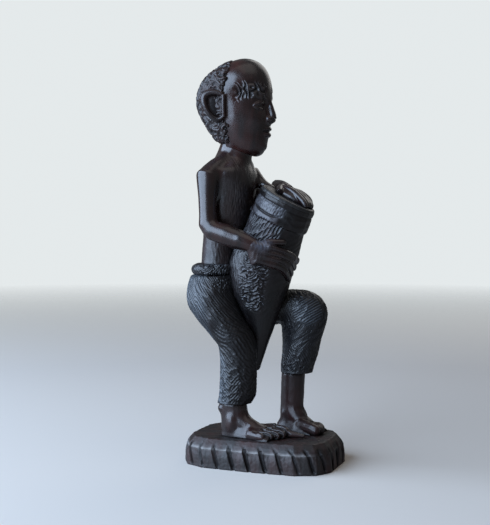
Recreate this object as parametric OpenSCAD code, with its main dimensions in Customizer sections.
// Carved hardwood figure of a drummer. He stands on a notched oval base, one
// knee raised, with a hide-covered drum held between his arms and his knees.
// Frame: the origin is under the middle of the base, +X is the way the figure
// faces, +Y is the figure's left and +Z is up. All sizes are in millimetres.

/* [Base] */
// Length of the base, from the heel end to the toe end
base_length = 97; // [95:1:120]
// Width of the base, from side to side
base_width = 66; // [65:1:80]
// Height of the upright side of the base
base_side = 12; // [9:0.5:18]
// Rise of the top of the base above its upright side
base_crown = 6; // [3:0.5:8]
// Width of the slope between the side and the top
base_slope = 5; // [3:0.5:7]
// Length cut off each corner of the base
base_corner = 17; // [12:1:22]
// Width of a groove cut in the side of the base
groove_width = 1.8; // [1:0.2:3]
// Depth of a groove
groove_depth = 1.6; // [0.8:0.2:2.6]
// Distance from one groove to the next
groove_pitch = 10.5; // [8:0.5:16]
// Lean of the grooves, in degrees
groove_lean = 17; // [0:1:26]

/* [Trousers and feet] */
// Height of the trousers above the base, up to the waistband
trouser_height = 101; // [94:1:108]
// Distance of the hips behind the middle of the base
hip_back = 31; // [28:0.5:34]
// Distance of each hip from the middle of the figure
hip_spread = 14.5; // [13:0.5:17]
// Half the thickness of a thigh
thigh_radius = 13.8; // [12:0.2:15]
// Half the thickness of a trouser leg at the hem
hem_radius = 10.4; // [9:0.2:11.4]
// Height of the right hem above the base
right_hem = 21; // [18:1:28]
// Height of the left hem above the base
left_hem = 37.5; // [32:0.5:42]
// Height of the middle of the raised left knee above the base
knee_height = 79; // [74:1:83]
// Distance of the left knee in front of the middle of the base
knee_forward = 21; // [17:0.5:24]
// Radius of the bare ankle
ankle_radius = 7.6; // [6:0.2:8.4]
// Distance of the right heel behind the middle of the base
right_heel_back = 23; // [19:0.5:26]
// Distance of the right heel from the middle of the figure
right_heel_side = 12.5; // [11:0.5:15]
// Distance of the left heel in front of the middle of the base
left_heel_forward = 3; // [0:0.5:6]
// Distance of the left heel from the middle of the figure
left_heel_side = 21; // [18:0.5:22]
// Length of the right foot, from the heel to the big toe
right_foot_length = 42; // [38:1:44]
// Length of the left foot, from the heel to the big toe
left_foot_length = 37; // [34:1:40]
// Width of a foot across the toes
foot_width = 21; // [18:0.5:23]
// Radius of a toe
toe_radius = 2.7; // [2.2:0.1:3]

/* [Body] */
// Height of the rolled waistband
band_height = 7; // [4:0.5:9]
// Height of the bare body, from the waistband to the foot of the neck
torso_height = 67; // [62:1:72]
// Depth of the body at the chest, from front to back
torso_depth = 32; // [28:0.5:35]
// Width of the body at the chest, without the arms
torso_width = 39; // [34:1:43]
// Distance of the waist behind the middle of the base
waist_back = 29.5; // [27:0.5:32]
// Distance of the neck behind the middle of the base
neck_back = 19.5; // [17:0.5:22]
// Length of the front of the neck, under the jaw
neck_length = 1.5; // [1:0.5:5]
// Radius of the neck
neck_radius = 9.3; // [8:0.1:10]

/* [Head] */
// Height of the head, from under the chin to the crown
head_height = 61.5; // [56:0.5:68]
// Length of the head, from the forehead to the back of the skull
head_length = 48; // [43:1:53]
// Width of the head without the ears
head_width = 38; // [34:1:42]
// Distance that the hair stands out from the skull
hair_depth = 2; // [1:0.2:3]
// Distance of the middle of the skull behind the middle of the base
head_back = 20.3; // [18:0.1:23]
// Share of the head's length that the hair covers
hair_share = 0.46; // [0.35:0.01:0.5]
// Height of an ear
ear_height = 22; // [18:0.5:24]
// Distance of an ear behind the middle of the skull
ear_back = 6; // [4:0.5:7]

/* [Arms] */
// Distance of each shoulder behind the middle of the base
shoulder_back = 29; // [27:0.5:31]
// Distance of each shoulder from the middle of the figure
shoulder_spread = 23; // [21:0.5:25]
// Height of the shoulders below the foot of the neck
shoulder_drop = 12; // [10:0.5:15]
// Radius of the upper arm
arm_radius = 5.4; // [4.6:0.1:6.2]
// Radius of the forearm at its thickest
forearm_radius = 6.6; // [5.4:0.1:7.2]
// Radius of the wrist
wrist_radius = 4.8; // [4:0.1:5.4]
// Radius of a finger
finger_radius = 2.2; // [1.8:0.1:2.5]

/* [Drum] */
// Distance of the drum's foot behind the middle of the base
drum_foot_back = 7.5; // [6:0.5:10]
// Distance that the drum leans forwards, from its foot to its playing face
drum_reach = 22.5; // [20:0.5:25]
// Radius of the drum at its playing face
drum_radius = 18.7; // [17:0.1:20]
// Radius of the drum at its widest, below the hands
belly_radius = 20.8; // [19:0.1:21.6]
// Radius of the drum at its foot
drum_foot_radius = 3.6; // [3:0.1:4.6]
// Height of the drum's playing face above its foot
drum_height = 108; // [102:1:114]
// Height of the drum's foot above the base
drum_lift = 40; // [36:1:45]
// Height of the hide collar under the playing face
collar_height = 13; // [9:0.5:16]
// Distance that the collar stands out from the drum
collar_step = 1.3; // [0.6:0.1:2]
// Thickness of the drum skin
skin_thickness = 2; // [1.4:0.1:3]
// Slope of the playing face towards the front, in degrees
face_tilt = 28; // [18:1:32]

/* [Hidden] */

sides = 24;        // points round a large carved form
limb_sides = 16;   // points round an arm
ball_sides = 12;   // facets round a finger or a toe
steps = 2;         // rings from one station of a form to the next
far = 400;         // larger than the figure, for cutting planes

ebony = [0.16, 0.12, 0.11];
ebony_base = [0.25, 0.20, 0.18];
cloth_carving = [0.13, 0.13, 0.15];
hair_carving = [0.20, 0.15, 0.14];
hide_carving = [0.28, 0.24, 0.21];

// Levels where one carved form meets the next
base_top = base_side + base_crown;
trouser_top = base_top + trouser_height;
waist_z = trouser_top + band_height;
collarbone_z = waist_z + torso_height;
jaw_z = collarbone_z + neck_length;
crown_z = jaw_z + head_height;
shoulder_z = collarbone_z - shoulder_drop;

// Places in the side view
hip_x = -hip_back;
hip_z = trouser_top - 12;
knee_z = base_top + knee_height;
right_hem_z = base_top + right_hem;
left_hem_z = base_top + left_hem;
right_shin_x = -12.5;
left_shin_x = 15.5;
neck_x = -neck_back;
head_x = -head_back;
drum_foot_x = -drum_foot_back;
drum_foot_z = base_top + drum_lift;

// ---- Rings and skins ------------------------------------------------------

function mix(a, b, t) = a + (b - a) * t;
function unit(v) = v / norm(v);

// A station is [centre x, centre z, half depth, half width, middle y, lean].
// The ring lies in the plane of the y axis and of a line that leans up forwards.
function ring(s, n = sides) = [for (i = [0:n - 1])
    let (a = 360 * i / n, d = s[2] * cos(a))
    [s[0] + d * cos(s[5]), s[4] + s[3] * sin(a), s[1] + d * sin(s[5])]];

// Catmull-Rom curve through a list of stations
function between(a, b, c, d, t) = 0.5 * (2 * b + (c - a) * t + (2 * a - 5 * b + 4 * c - d) * t * t
    + (3 * b - a - 3 * c + d) * t * t * t);
function smooth(s, k = steps) = let (last = len(s) - 1) concat(
    [for (i = [0:last - 1]) for (j = [0:k - 1])
        between(s[max(i - 1, 0)], s[i], s[i + 1], s[min(i + 2, last)], j / k)],
    [s[last]]);
function rings(s, k = steps) = [for (q = smooth(s, k)) ring(q)];

// Closed skin over rings that run upwards and all have the same number of points
module skin(r) {
    n = len(r[0]);
    top = (len(r) - 1) * n;
    polyhedron(
        points = [for (q = r) each q],
        faces = concat(
            [[for (i = [0:n - 1]) i]],
            [[for (i = [n - 1:-1:0]) top + i]],
            [for (j = [0:len(r) - 2]) for (i = [0:n - 1])
                let (k = (i + 1) % n, a = j * n + i, b = j * n + k, c = a + n, d = b + n)
                each [[a, c, b], [b, c, d]]]),
        convexity = 8);
}

// Round sections through a list of [point, radius], mitred at each bend and
// turned as little as possible from one section to the next
function square_to(u, d) = unit(u - d * (u * d));
function first_side(d) = square_to(abs(d[2]) < 0.8 ? [0, 0, 1] : [1, 0, 0], d);
function limb_rings(p, n = limb_sides) = let (
        last = len(p) - 1,
        along = [for (i = [0:last]) unit(p[max(i, 1)][0] - p[max(i, 1) - 1][0])],
        side = [for (i = 0, u = first_side(along[0]); i <= last;
            u = square_to(u, along[min(i + 1, last)]), i = i + 1) u])
    [for (i = [0:last]) let (
            into = along[i],
            normal = unit(into + along[min(i + 1, last)]),
            v = cross(into, side[i]))
        [for (k = [0:n - 1]) let (a = 360 * k / n, q = p[i][1] * (cos(a) * side[i] + sin(a) * v))
            p[i][0] + q - into * ((q * normal) / (into * normal))]];

function part_of(list, first, last) = [for (i = [first:last]) list[i]];

module ball(p, r) {
    translate(p) sphere(r = r, $fn = ball_sides);
}

// Finger or toe through a list of [point, radius], rounded at its last point
digit_sides = 10;
function with_tip(p) = let (last = len(p) - 1, q = p[last], r = q[1],
        d = unit(q[0] - p[last - 1][0])) concat(
    p,
    [[q[0] + 0.6 * r * d, 0.8 * r], [q[0] + 0.95 * r * d, 0.35 * r]]);
module digit(p) {
    skin(limb_rings(with_tip(p), digit_sides));
}

// ---- Base -----------------------------------------------------------------

function base_corners(inset) = let (x = base_length / 2 - inset, y = base_width / 2 - inset,
        c = base_corner - 0.6 * inset)
    [[x, y - c], [x - 0.35 * c, y - 0.4 * c], [x - 1.1 * c, y - 0.06 * c], [0, y]];
function base_outline(inset) = let (q = base_corners(inset)) concat(
    q,
    [for (i = [2:-1:0]) [-q[i][0], q[i][1]]],
    [for (i = [0:3]) [-q[i][0], -q[i][1]]],
    [for (i = [2:-1:0]) [q[i][0], -q[i][1]]]);

module base_crown_form() {
    skin([
        [for (q = base_outline(0)) [q[0], q[1], base_side]],
        [for (q = base_outline(base_slope)) [q[0], q[1], base_top]]]);
}

module groove() {
    cube([groove_width, 2 * groove_depth, 2 * base_side], center = true);
}

module base_grooves() {
    count = floor((base_length / 2 - base_corner) / groove_pitch);
    for (side = [-1, 1]) for (i = [-count:count])
        translate([i * groove_pitch, side * base_width / 2, base_side / 2])
            rotate([0, -groove_lean, 0]) groove();
    for (end = [-1, 1]) for (i = [-1:1])
        translate([end * base_length / 2, i * groove_pitch, base_side / 2])
            rotate([groove_lean, 0, 90]) groove();
}

module base() {
    color(ebony_base) difference() {
        union() {
            linear_extrude(height = base_side) polygon(base_outline(0));
            base_crown_form();
        }
        base_grooves();
    }
}

// ---- Drum -----------------------------------------------------------------

function drum_x(s, shift) = drum_foot_x + drum_reach * s + shift;
function drum_z(s) = drum_foot_z + drum_height * s;

// [share of the height, shift back from the straight axis, radius, slope share]
collar_start = 1 - collar_height / drum_height;
drum_rows = [
    [0, 0, drum_foot_radius, 0.1],
    [0.13, -0.5, 1.6 * drum_foot_radius, 0.1],
    [0.27, -1.8, 0.46 * belly_radius, 0.05],
    [0.41, -6, 0.76 * belly_radius, 0],
    [0.49, -7.8, 0.92 * belly_radius, 0.05],
    [0.60, -9, belly_radius, 0.25],
    [0.70, -7.2, mix(belly_radius, drum_radius, 0.2), 0.5],
    [0.79, -4.7, 0.99 * drum_radius, 0.75],
    [collar_start, -3.4, 0.97 * drum_radius, 0.92]];
function drum_station(q, extra = 0) =
    [drum_x(q[0], q[1]), drum_z(q[0]), q[2] + extra, q[2] + extra, 0, -face_tilt * q[3]];

module drum_body_form() {
    skin(rings([for (q = drum_rows) drum_station(q)]));
}

function face_up() = [sin(face_tilt), 0, cos(face_tilt)];
function face_out() = [cos(face_tilt), 0, -sin(face_tilt)];
// Point over the playing face: along it to the front, to the left, and above it
function on_face(x, y, lift) = [drum_x(1, 0), 0, drum_z(1)]
    + x * face_out() + [0, y, 0] + lift * face_up();

module collar_form() {
    skin(rings([
        drum_station([collar_start, -3.4, 0.97 * drum_radius + collar_step, 0.92]),
        drum_station([mix(collar_start, 1, 0.35), -2, 0.95 * drum_radius + collar_step, 0.95]),
        drum_station([mix(collar_start, 1, 0.75), -0.6, 0.99 * drum_radius, 1]),
        drum_station([1, 0, drum_radius, 1])]));
}

module skin_form() {
    rim = on_face(0, 0, skin_thickness);
    skin([
        ring([drum_x(1, 0), drum_z(1), drum_radius, drum_radius, 0, -face_tilt]),
        ring([rim[0], rim[2], drum_radius - 0.8, drum_radius - 0.8, 0, -face_tilt])]);
}

module drum_form() {
    drum_body_form();
    collar_form();
    skin_form();
}

module drum_body() {
    color(hide_carving) drum_body_form();
}

module drum_collar() {
    color(ebony) collar_form();
}

module drum_skin() {
    color(hide_carving) skin_form();
}

// ---- Trousers -------------------------------------------------------------

// [share of the way from the hem to the waistband, share of the way from the
// shin back to the hip, half depth, half width, distance from the middle]
right_leg_rows = [
    [0, 0.16, hem_radius, 0.98 * hem_radius, 13.7],
    [0.06, 0.05, 1.1 * hem_radius, 1.03 * hem_radius, 13.7],
    [0.14, 0.02, 1.12 * hem_radius, 1.04 * hem_radius, 13.8],
    [0.29, 0, 1.1 * hem_radius, 1.06 * hem_radius, 14],
    [0.44, 0.03, 1.12 * hem_radius, 1.12 * hem_radius, 14.2],
    [0.5, 0.15, 0.92 * thigh_radius, 0.9 * thigh_radius, 14.4],
    [0.575, 0.37, 1.03 * thigh_radius, 0.95 * thigh_radius, hip_spread],
    [0.66, 0.66, 1.1 * thigh_radius, thigh_radius, hip_spread + 0.5],
    [0.75, 0.89, 1.16 * thigh_radius, thigh_radius, hip_spread + 0.5],
    [0.85, 1.02, 1.11 * thigh_radius, thigh_radius, hip_spread],
    [0.93, 1.03, 1.09 * thigh_radius, 0.96 * thigh_radius, hip_spread - 1.5],
    [1, 1, 1.05 * thigh_radius, 0.9 * thigh_radius, hip_spread - 4]];
function right_leg_station(q) = [mix(right_shin_x, hip_x, q[1]),
    mix(right_hem_z, trouser_top, q[0]), q[2], q[3], -q[4], 0];

// [share of the way from the hem up to the knee, shift forwards, half depth,
// half width, distance from the middle, lean]
left_shin_rows = [
    [0, 0, 0.96 * hem_radius, hem_radius, 18, 0],
    [0.11, 0, 1.03 * hem_radius, 1.03 * hem_radius, 18, 0],
    [0.28, 0.6, 1.1 * hem_radius, 1.08 * hem_radius, 18.3, 0],
    [0.52, 0.4, 0.92 * thigh_radius, 0.84 * thigh_radius, 18.8, 4],
    [0.67, 0.8, 1.04 * thigh_radius, 0.88 * thigh_radius, 19, 11],
    [0.8, 0.7, 1.13 * thigh_radius, 0.92 * thigh_radius, 19, 18]];
// [share of the way from the hip to the knee, rise above that line, half depth,
// half width, distance from the middle, lean]
left_thigh_rows = [
    [0.97, -4.1, 1.16 * thigh_radius, 0.93 * thigh_radius, 19, 27],
    [0.91, -1.7, 1.13 * thigh_radius, 0.93 * thigh_radius, 18.8, 38],
    [0.81, -1.4, 1.06 * thigh_radius, 0.93 * thigh_radius, 18.2, 51],
    [0.65, -3.8, 1.02 * thigh_radius, 0.94 * thigh_radius, 17, 60],
    [0.48, -6.2, 1.07 * thigh_radius, 0.96 * thigh_radius, 16, 57],
    [0.28, -7.7, 1.2 * thigh_radius, 0.98 * thigh_radius, hip_spread + 0.5, 46],
    [0.115, -6.3, 1.29 * thigh_radius, thigh_radius, hip_spread, 32],
    [0.02, -1.6, 1.25 * thigh_radius, thigh_radius, hip_spread - 0.5, 17],
    [0, 5, 1.15 * thigh_radius, 0.96 * thigh_radius, hip_spread - 1.5, 7]];
function left_shin_station(q) = [mix(left_shin_x, knee_forward, q[0]) + q[1],
    mix(left_hem_z, knee_z, q[0]), q[2], q[3], q[4], q[5]];
function left_thigh_station(q) = [mix(hip_x, knee_forward, q[0]),
    mix(hip_z, knee_z, q[0]) + q[1], q[2], q[3], q[4], q[5]];
trouser_top_station = [hip_x, trouser_top, 1.05 * thigh_radius, 0.9 * thigh_radius,
    hip_spread - 4, 0];

module half_space(side) {
    translate([-far / 2, side > 0 ? 0 : -far, -far / 2]) cube([far, far, 2 * far]);
}

module right_trouser_leg() {
    color(cloth_carving) difference() {
        skin(rings([for (q = right_leg_rows) right_leg_station(q)]));
        half_space(1);
        drum_body_form();
    }
}

module left_trouser_leg() {
    color(cloth_carving) difference() {
        skin(rings(concat(
            [for (q = left_shin_rows) left_shin_station(q)],
            [for (q = left_thigh_rows) left_thigh_station(q)],
            [trouser_top_station])));
        half_space(-1);
        drum_body_form();
    }
}

module waistband() {
    bulge = 1.2;
    depth = 1.05 * thigh_radius;
    width = 0.9 * thigh_radius + hip_spread - 4;
    color(cloth_carving) difference() {
        skin(rings([
            [hip_x, trouser_top, depth, width - 1, 0, 0],
            [hip_x, trouser_top + 0.25 * band_height, depth + bulge, width, 0, 0],
            [hip_x, trouser_top + 0.75 * band_height, depth + bulge, width, 0, 0],
            [hip_x, waist_z, depth - 0.5, width - 2, 0, 0]]));
        drum_body_form();
    }
}

// ---- Feet -----------------------------------------------------------------

// [share of the foot's length, share of its width, height over the sole]
foot_rows = [[0.005, 0.4, 3.5], [0.05, 0.6, 7], [0.2, 0.72, 9.5], [0.42, 0.74, 8.6],
    [0.6, 0.88, 6.2], [0.74, 0.98, 4.2], [0.83, 0.94, 2.6]];
// [height, wideness from front to back, wideness from side to side]
ankle_rows = [[2, 1.14, 1], [8, 1.12, 0.96], [14, 1.17, 0.94]];
// From the big toe: [tip as a share of the length, share of the half width, thickness]
toes = [[1, 0.76, 1.3], [0.99, 0.3, 1.02], [0.94, -0.08, 0.96], [0.87, -0.44, 0.92],
    [0.78, -0.78, 0.88]];

// Foot with its heel at the origin, its toes along +x and its sole on z = 0, and
// with its big toe towards +y for inner = 1. The ankle stands at a share of the
// foot's length and leans forward up to the hem; girth slims its lower part.
module foot(inner, l, hem_height, ankle_share, lean, girth) {
    w = foot_width / 2;
    shank = concat([for (q = ankle_rows) [q[0], girth * q[1], girth * q[2]]],
        [[hem_height, 1.04, 1]]);
    difference() {
        union() {
            skin([for (q = smooth(foot_rows))
                [for (i = [0:limb_sides - 1]) let (a = 360 * i / limb_sides)
                    [q[0] * l, q[1] * w * cos(a), q[2] * sin(a)]]]);
            skin([for (q = smooth(shank))
                [for (i = [0:limb_sides - 1]) let (a = 360 * i / limb_sides)
                    [ankle_share * l + lean * q[0] / hem_height + ankle_radius * q[1] * cos(a),
                        ankle_radius * q[2] * sin(a), q[0]]]]);
            for (t = toes) let (r = toe_radius * t[2]) digit([
                [[(t[0] - 0.3) * l, inner * t[1] * w * 0.88, 1.3 * r], r],
                [[(t[0] - 0.16) * l, inner * t[1] * w * 0.97, 1.1 * r], r],
                [[t[0] * l - 0.95 * r, inner * t[1] * w, 0.85 * r], 0.9 * r]]);
        }
        translate([-far / 2, -far / 2, -far]) cube(far);
    }
}

module right_foot() {
    color(ebony) translate([-right_heel_back, -right_heel_side, base_top])
        rotate([0, 0, -6])
        foot(1, right_foot_length, right_hem, 0.175, 0, 1);
}

module left_foot() {
    color(ebony) translate([left_heel_forward, left_heel_side, base_top])
        rotate([0, 0, -18])
        foot(-1, left_foot_length, left_hem, 0.24, 2, 0.9);
}

// ---- Body and neck --------------------------------------------------------

// [share of the height, share of the way from the waist forwards to the neck,
// share of the depth, share of the width]
torso_rows = [
    [0, 0, 0.77, 0.88],
    [0.15, 0.05, 0.77, 0.84],
    [0.35, 0.3, 0.86, 0.86],
    [0.55, 0.47, 0.95, 0.94],
    [0.72, 0.59, 1, 1.02],
    [0.82, 0.67, 0.95, 1.1],
    [0.89, 0.73, 0.84, 1.02],
    [0.95, 0.83, 0.7, 0.76],
    [1, 0.95, 0.62, 0.58]];

module torso_form() {
    skin(rings([for (q = torso_rows) [-mix(waist_back, neck_back, q[1]), mix(waist_z, collarbone_z, q[0]),
        q[2] * torso_depth / 2, q[3] * torso_width / 2, 0, 0]]));
}

module torso() {
    color(ebony) difference() {
        torso_form();
        drum_form();
    }
}

neck_slope = -22;
module neck() {
    color(ebony) skin(rings([
        [neck_x - 0.5, collarbone_z, neck_radius, 1.1 * neck_radius, 0, 0],
        [neck_x, collarbone_z + 0.5 * neck_length, 0.98 * neck_radius, neck_radius, 0,
            0.5 * neck_slope],
        [neck_x, jaw_z + 4.5, neck_radius, neck_radius, 0, neck_slope]]));
}

// ---- Head -----------------------------------------------------------------

// [share of the height, shift forwards, share of the length, share of the width, slope share]
head_rows = [
    [0.073, 1, 0.56, 0.56, 1],
    [0.13, 1.2, 0.76, 0.7, 1],
    [0.24, 1, 0.88, 0.84, 0.75],
    [0.38, 0.2, 0.95, 0.93, 0.4],
    [0.52, 0, 1, 0.98, 0.1],
    [0.66, 0.6, 0.99, 1, -0.1],
    [0.79, 1.5, 0.88, 0.94, -0.25],
    [0.88, 2.6, 0.7, 0.8, -0.3],
    [0.95, 4.2, 0.46, 0.57, -0.25],
    [0.99, 6.4, 0.2, 0.27, -0.1],
    [1, 7, 0.08, 0.1, 0]];
function head_station(q, extra = 0) = [head_x + q[1], mix(jaw_z, crown_z, q[0]),
    q[2] * head_length / 2 + extra, q[3] * head_width / 2 + extra, 0, neck_slope * q[4]];

module skull_form(extra = 0) {
    skin(rings([for (q = head_rows) head_station(q, extra)]));
}

hairline_x = head_x + head_length * (hair_share - 0.5);
module behind_hairline() {
    translate([hairline_x - far, -far / 2, 0]) cube(far);
}

// Soft features of the face: brows, eyes, nose, lips and chin
module features() {
    face_x = head_x + head_length / 2;
    h = head_height;
    for (side = [-1, 1]) {
        hull() {
            ball([face_x - 3.4, side * 4, jaw_z + 0.59 * h], 2);
            ball([face_x - 7.4, side * 12, jaw_z + 0.6 * h], 2);
        }
        hull() {
            ball([face_x - 4.6, side * 6, jaw_z + 0.5 * h], 2);
            ball([face_x - 6.4, side * 10, jaw_z + 0.5 * h], 2);
        }
        hull() {
            ball([face_x - 2, side * 3.2, jaw_z + 0.355 * h], 2.2);
            ball([face_x + 0.4, 0, jaw_z + 0.36 * h], 2.4);
        }
    }
    hull() {
        ball([face_x - 2.2, 0, jaw_z + 0.56 * h], 1.8);
        ball([face_x + 0.4, 0, jaw_z + 0.37 * h], 2.5);
    }
    for (lip = [[0.27, 0.2], [0.215, -0.4]]) for (side = [-1, 1]) hull() {
        ball([face_x - 2.4 + lip[1], side * 1.2, jaw_z + lip[0] * h], 2.2);
        ball([face_x - 6, side * 6, jaw_z + lip[0] * h], 1.4);
    }
    hull() {
        ball([face_x - 6.6, 2.5, jaw_z + 0.11 * h], 3.4);
        ball([face_x - 6.6, -2.5, jaw_z + 0.11 * h], 3.4);
    }
}

module head() {
    color(ebony) difference() {
        union() {
            skull_form();
            features();
        }
        behind_hairline();
    }
}

module hair_form() {
    intersection() {
        skull_form(hair_depth);
        behind_hairline();
        translate([-far / 2, -far / 2, jaw_z + 0.13 * head_height]) cube(far);
    }
}

module hair() {
    color(hair_carving) hair_form();
}

// Cupped ear: a thin plate with a rolled rim, standing off the side of the head
module ear(side) {
    r = ear_height / 2;
    middle = [head_x - ear_back, side * (head_width / 2 + 1.2), jaw_z + 0.47 * head_height];
    rim = [for (a = [-60:30:240]) middle
        + [-0.5 * r * cos(a), side * (1.5 + 1.3 * sin(a)), 0.86 * r * sin(a)]];
    difference() {
        union() {
            skin(limb_rings([for (q = rim) [q, 1.5]], digit_sides));
            hull() for (q = rim) translate(q - [0, side * 1.8, 0]) cube(1.6, center = true);
        }
        skull_form();
        hair_form();
    }
}

module right_ear() {
    color(ebony) ear(-1);
}

module left_ear() {
    color(ebony) ear(1);
}

// ---- Arms -----------------------------------------------------------------

// The left shoulder is raised and drawn forwards by its reach over the drum
left_raise = 5.5;
left_draw = 7;
elbow_y = 25.5;
right_bend = 3.2;
left_bend = 6.6;
right_elbow = [-28.6, -elbow_y, shoulder_z - 32.4];
right_wrist = [-0.5, -23.5, drum_z(0.75)];
left_elbow = [-6, elbow_y, shoulder_z - 30];
left_wrist = on_face(-15, 19, 3.5);

function toward(a, b, distance) = a + distance * unit(b - a);
function shoulder_path(side, x, z) = [
    [[x + 4, side * (shoulder_spread - 15), z + 2], 0.8 * arm_radius],
    [[x + 1.4, side * (shoulder_spread - 6.5), z + 3], 1.15 * arm_radius],
    [[x - 0.8, side * (shoulder_spread + 0.2), z - 0.8], 1.3 * arm_radius]];
function arm_path(shoulder, elbow, wrist, bend) = let (top = shoulder[len(shoulder) - 1][0]) concat(
    shoulder,
    [[mix(top, elbow, 0.4), 1.04 * arm_radius],
    [mix(top, elbow, 0.72), 0.96 * arm_radius],
    [toward(elbow, top, bend), 1.04 * arm_radius],
    [toward(elbow, wrist, bend), 1.12 * arm_radius],
    [mix(elbow, wrist, 0.42), forearm_radius],
    [mix(elbow, wrist, 0.72), 0.93 * forearm_radius],
    [wrist, wrist_radius]]);
right_arm = arm_path(shoulder_path(-1, -shoulder_back, shoulder_z), right_elbow, right_wrist, right_bend);
left_arm = arm_path(shoulder_path(1, -shoulder_back + left_draw, shoulder_z + left_raise),
    left_elbow, left_wrist, left_bend);
elbow = 5;
wrist = 9;

module right_upper_arm() {
    color(ebony) difference() {
        skin(part_of(limb_rings(right_arm), 0, elbow));
        torso_form();
    }
}

module right_forearm() {
    color(ebony) difference() {
        skin(part_of(limb_rings(right_arm), elbow, wrist));
        drum_body_form();
    }
}

module left_upper_arm() {
    color(ebony) difference() {
        skin(part_of(limb_rings(left_arm), 0, elbow));
        torso_form();
    }
}

module left_forearm() {
    color(ebony) skin(part_of(limb_rings(left_arm), elbow, wrist));
}

// Point on the side of the drum: share of its height, angle round it from the
// front towards the figure's right, and distance out from the surface
function drum_surface(s, angle, lift) = let (
        z = drum_z(s),
        i = [for (k = [0:len(drum_rows) - 2]) if (drum_rows[k][0] <= s) k],
        a = drum_rows[i[len(i) - 1]],
        b = drum_rows[i[len(i) - 1] + 1],
        t = (s - a[0]) / (b[0] - a[0]),
        q = drum_station([s, mix(a[1], b[1], t), mix(a[2], b[2], t) + lift, mix(a[3], b[3], t)]))
    [q[0] + q[2] * cos(angle) * cos(q[5]), -q[2] * sin(angle), z + q[2] * cos(angle) * sin(q[5])];

// Rounded root of a hand, just past the end of the forearm
module hand_root(wrist, ahead) {
    ball(toward(wrist, ahead, 0.45 * wrist_radius), 0.86 * wrist_radius);
}

module right_hand() {
    r = finger_radius;
    knuckle = [for (i = [0:3]) drum_surface(0.745 - 0.04 * i, 72 + 3 * i, 1.5 * r)];
    color(ebony) difference() {
        union() {
            hull() {
                hand_root(right_wrist, mix(knuckle[0], knuckle[3], 0.5));
                ball(knuckle[0], 1.2 * r);
                ball(knuckle[3], 1.2 * r);
            }
            for (i = [0:3]) digit([
                [mix(right_wrist, knuckle[i], 0.6), 1.3 * r],
                [knuckle[i], 1.25 * r],
                [drum_surface(0.728 - 0.042 * i, 42 + 3 * i, 0.8 * r), 1.15 * r],
                [drum_surface(0.718 - 0.046 * i, 16 + 4 * i, 0.6 * r), 1.05 * r],
                [drum_surface(0.712 - 0.049 * i, -9 + 6 * i, 0.5 * r), 0.95 * r]]);
            digit([
                [mix(right_wrist, knuckle[0], 0.5), 1.2 * r],
                [drum_surface(0.775, 76, r), 1.15 * r],
                [drum_surface(0.8, 52, 0.6 * r), 0.95 * r]]);
        }
        drum_body_form();
        skin(part_of(limb_rings(right_arm), elbow, wrist));
    }
}

module left_hand() {
    r = finger_radius;
    lift = skin_thickness + 0.7 * r;
    knuckle = [for (i = [0:3]) on_face(-5 + 1.2 * i, 1.5 + 3.7 * i, lift + 2.2 * r)];
    color(ebony) difference() {
        union() {
            hull() {
                hand_root(left_wrist, mix(knuckle[0], knuckle[3], 0.5));
                ball(knuckle[0], 1.25 * r);
                ball(knuckle[3], 1.25 * r);
                ball(on_face(-6, 6, lift), r);
                ball(on_face(1, 8, lift), r);
                ball(on_face(1, 1, lift), r);
            }
            for (i = [0:3]) digit([
                [mix(left_wrist, knuckle[i], 0.6), 1.3 * r],
                [knuckle[i], 1.25 * r],
                [on_face(6 + 1.3 * i, -2.5 + 4 * i, lift + 0.9 * r), 1.15 * r],
                [on_face(13.5 - 0.6 * i, -4.5 + 4.1 * i, lift), 0.95 * r]]);
            digit([
                [mix(left_wrist, knuckle[0], 0.5), 1.2 * r],
                [on_face(-8.5, 0, lift + 0.8 * r), 1.1 * r],
                [on_face(-4, -6.5, lift), 0.95 * r]]);
        }
        drum_form();
        skin(part_of(limb_rings(left_arm), elbow, wrist));
    }
}

base();
right_foot();
left_foot();
right_trouser_leg();
left_trouser_leg();
waistband();
torso();
neck();
head();
hair();
right_ear();
left_ear();
right_upper_arm();
right_forearm();
right_hand();
left_upper_arm();
left_forearm();
left_hand();
drum_body();
drum_collar();
drum_skin();
